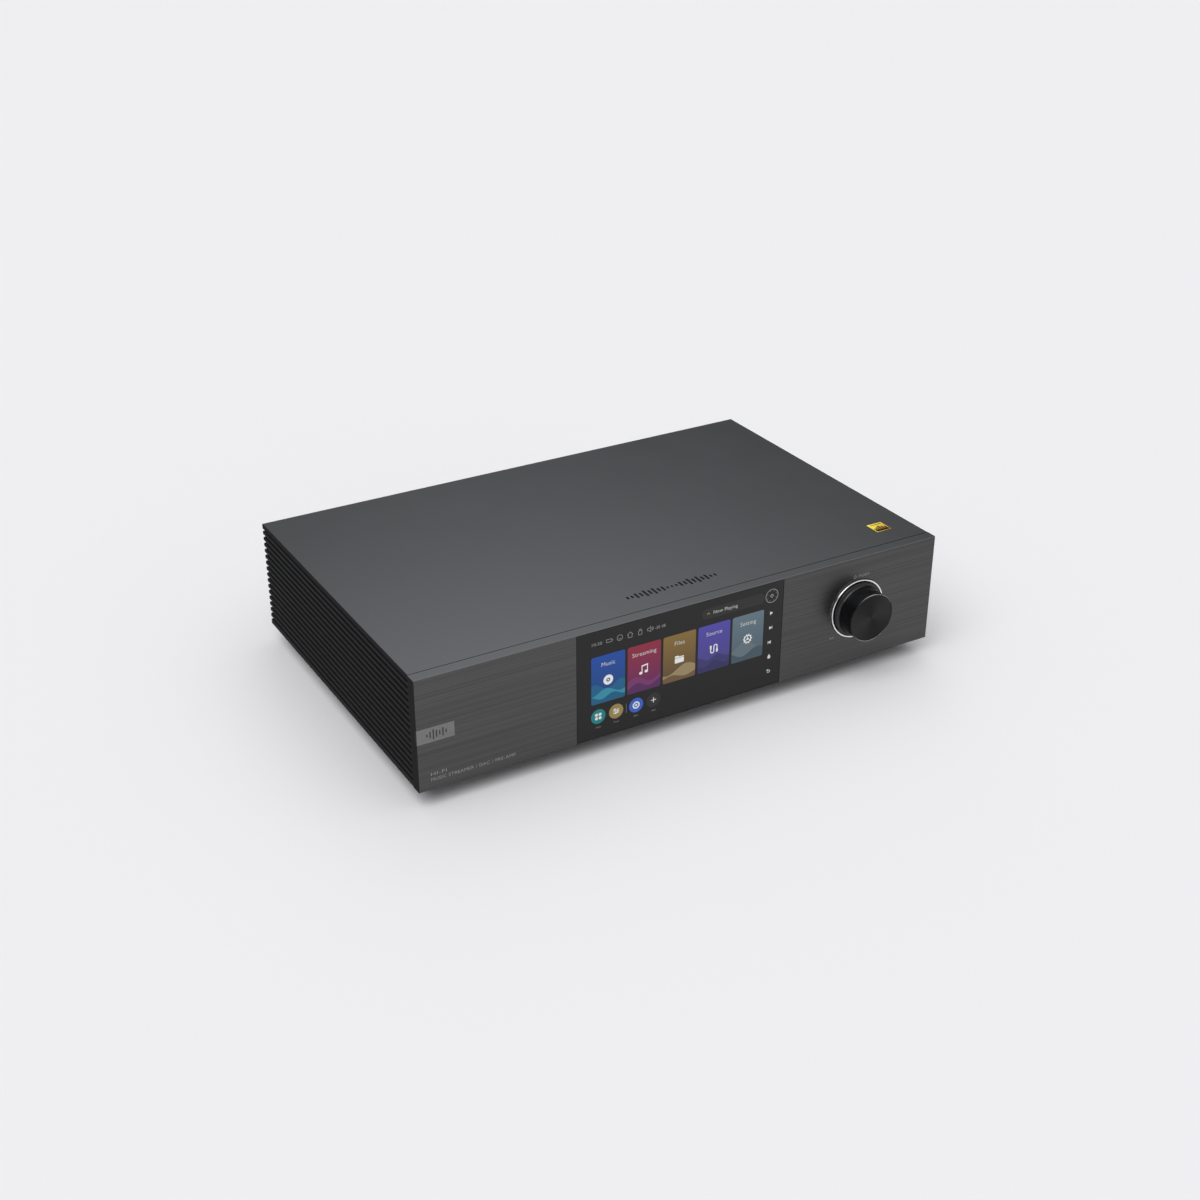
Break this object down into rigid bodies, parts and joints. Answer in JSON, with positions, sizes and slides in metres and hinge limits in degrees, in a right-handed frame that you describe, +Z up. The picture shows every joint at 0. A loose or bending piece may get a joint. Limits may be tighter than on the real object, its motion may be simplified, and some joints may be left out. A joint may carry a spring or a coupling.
{
  "type": "desktop digital audio player",
  "caption": "Low, wide network audio player and converter: finned aluminium case, full-height glass touch display, push-and-turn knob, rear connector panel.",
  "frame": {"origin": "on the floor, under the middle of the whole box that holds the object, knob and jacks included", "axes": "+X to the right seen from the front, +Y to the rear, +Z up"},
  "size_m": [0.388, 0.2734, 0.0901],
  "materials": {
    "brushed_graphite": "brushed along its length, dark graphite anodised",
    "satin_graphite": "fine satin grain, graphite anodised",
    "black_anodised": "bead-blasted, black anodised",
    "black_print": "matt black fill",
    "sheet_black": "fine-texture black powder coat on steel",
    "badge_silver": "brushed, natural anodised",
    "gold_foil": "hot-stamped foil",
    "foot_black": "turned, black anodised",
    "rubber_black": "moulded",
    "screw_black": "black oxide",
    "screw_steel": "zinc plated",
    "display_glass": "tinted, polished",
    "display_dark": "laminated liquid-crystal cell",
    "light_tray": "moulded white",
    "plated_steel": "zinc-plated pressed sheet",
    "ribbon_amber": "polyimide film",
    "polished_ring": "diamond cut and polished",
    "knob_black": "spun face, black anodised",
    "shaft_steel": "ground",
    "encoder_black": "moulded",
    "board_black": "solder-mask laminate",
    "connector_black": "moulded",
    "nickel": "nickel plated",
    "gold_plate": "gold plated",
    "zinc_black": "black-plated zinc casting",
    "ring_white": "moulded insulator",
    "fuse_glass": "clear tube with plated caps",
    "chip_black": "moulded package",
    "can_black": "sleeved can",
    "heatsink_black": "extruded, black",
    "coil_tape": "polyester tape",
    "lead_brown": "insulated lead",
    "shutter_black": "moulded"
  },
  "bodies": {
    "chassis": {"front_panel": "brushed_graphite", "left_heatsink": "black_anodised", "right_heatsink": "black_anodised", "lid": "satin_graphite", "lid_motif": "black_print", "bottom_plate": "sheet_black", "rear_panel": "sheet_black", "corner_brackets": "plated_steel", "front_badge": "badge_silver", "gold_label": "gold_foil", "foot_cups": "foot_black", "foot_pads": "rubber_black", "bottom_screws": "screw_black", "rear_screws": "screw_black", "inner_screws": "screw_steel", "display_glass": "display_glass", "display_cell": "display_dark", "display_backlight": "light_tray", "display_bracket": "plated_steel", "display_ribbon": "ribbon_amber", "knob_ring": "polished_ring", "encoder_bushing": "gold_plate", "encoder_nut": "nickel", "encoder_body": "encoder_black", "encoder_board": "board_black", "mains_inlet": "connector_black", "mains_blades": "nickel", "rocker_frame": "connector_black", "xlr_shells": "zinc_black", "xlr_inserts": "connector_black", "xlr_pins": "gold_plate", "rca_jacks": "gold_plate", "rca_rings": "ring_white", "rca_inserts": "connector_black", "port_shells": "nickel", "port_tongues": "connector_black", "optical_ports": "connector_black", "trigger_jacks": "nickel", "antenna_posts": "gold_plate", "digital_boards": "board_black", "dac_board": "board_black", "supply_board": "board_black", "board_posts": "plated_steel", "board_chips": "chip_black", "power_capacitors": "can_black", "processor_heatsink": "heatsink_black", "transformer": "coil_tape", "transformer_clamp": "plated_steel", "mains_leads": "lead_brown"},
    "plunger": {"push_plunger": "encoder_black"},
    "knob": {"volume_knob": "knob_black", "knob_set_screw": "screw_black", "encoder_shaft": "shaft_steel"},
    "rocker": {"power_rocker": "connector_black"},
    "fuse_tray": {"fuse_drawer": "connector_black", "fuse": "fuse_glass"},
    "latch_left": {"xlr_latch_left": "nickel"},
    "latch_right": {"xlr_latch_right": "nickel"},
    "shutter_out": {"optical_shutter_out": "shutter_black"},
    "shutter_in": {"optical_shutter_in": "shutter_black"}
  },
  "joints": [
    {"name": "knob_push", "type": "slide", "parent": "chassis", "child": "plunger", "axis": [0, 1, 0], "range_m": [0, 0.0006], "stiffness_N_per_m": 900, "springref_m": -0.002},
    {"name": "knob_turn", "type": "hinge", "parent": "plunger", "child": "knob", "pos_m": [0.1303, -0.1203, 0.052], "axis": [0, 1, 0], "continuous": true},
    {"name": "power_rock", "type": "hinge", "parent": "chassis", "child": "rocker", "pos_m": [-0.158, 0.1257, 0.0265], "axis": [0, 0, 1], "range_deg": [0, 18]},
    {"name": "fuse_draw", "type": "slide", "parent": "chassis", "child": "fuse_tray", "axis": [0, 1, 0], "range_m": [0, 0.022]},
    {"name": "latch_left_press", "type": "slide", "parent": "chassis", "child": "latch_left", "axis": [0, -1, 0], "range_m": [0, 0.0015], "stiffness_N_per_m": 500, "springref_m": -0.001},
    {"name": "latch_right_press", "type": "slide", "parent": "chassis", "child": "latch_right", "axis": [0, -1, 0], "range_m": [0, 0.0015], "stiffness_N_per_m": 500, "springref_m": -0.001},
    {"name": "shutter_out_swing", "type": "hinge", "parent": "chassis", "child": "shutter_out", "pos_m": [-0.04, 0.1273, 0.062], "axis": [-1, 0, 0], "range_deg": [0, 75], "stiffness_Nm_per_rad": 0.0005, "springref_deg": -17.19},
    {"name": "shutter_in_swing", "type": "hinge", "parent": "chassis", "child": "shutter_in", "pos_m": [-0.024, 0.1273, 0.062], "axis": [-1, 0, 0], "range_deg": [0, 75], "stiffness_Nm_per_rad": 0.0005, "springref_deg": -17.19}
  ]
}
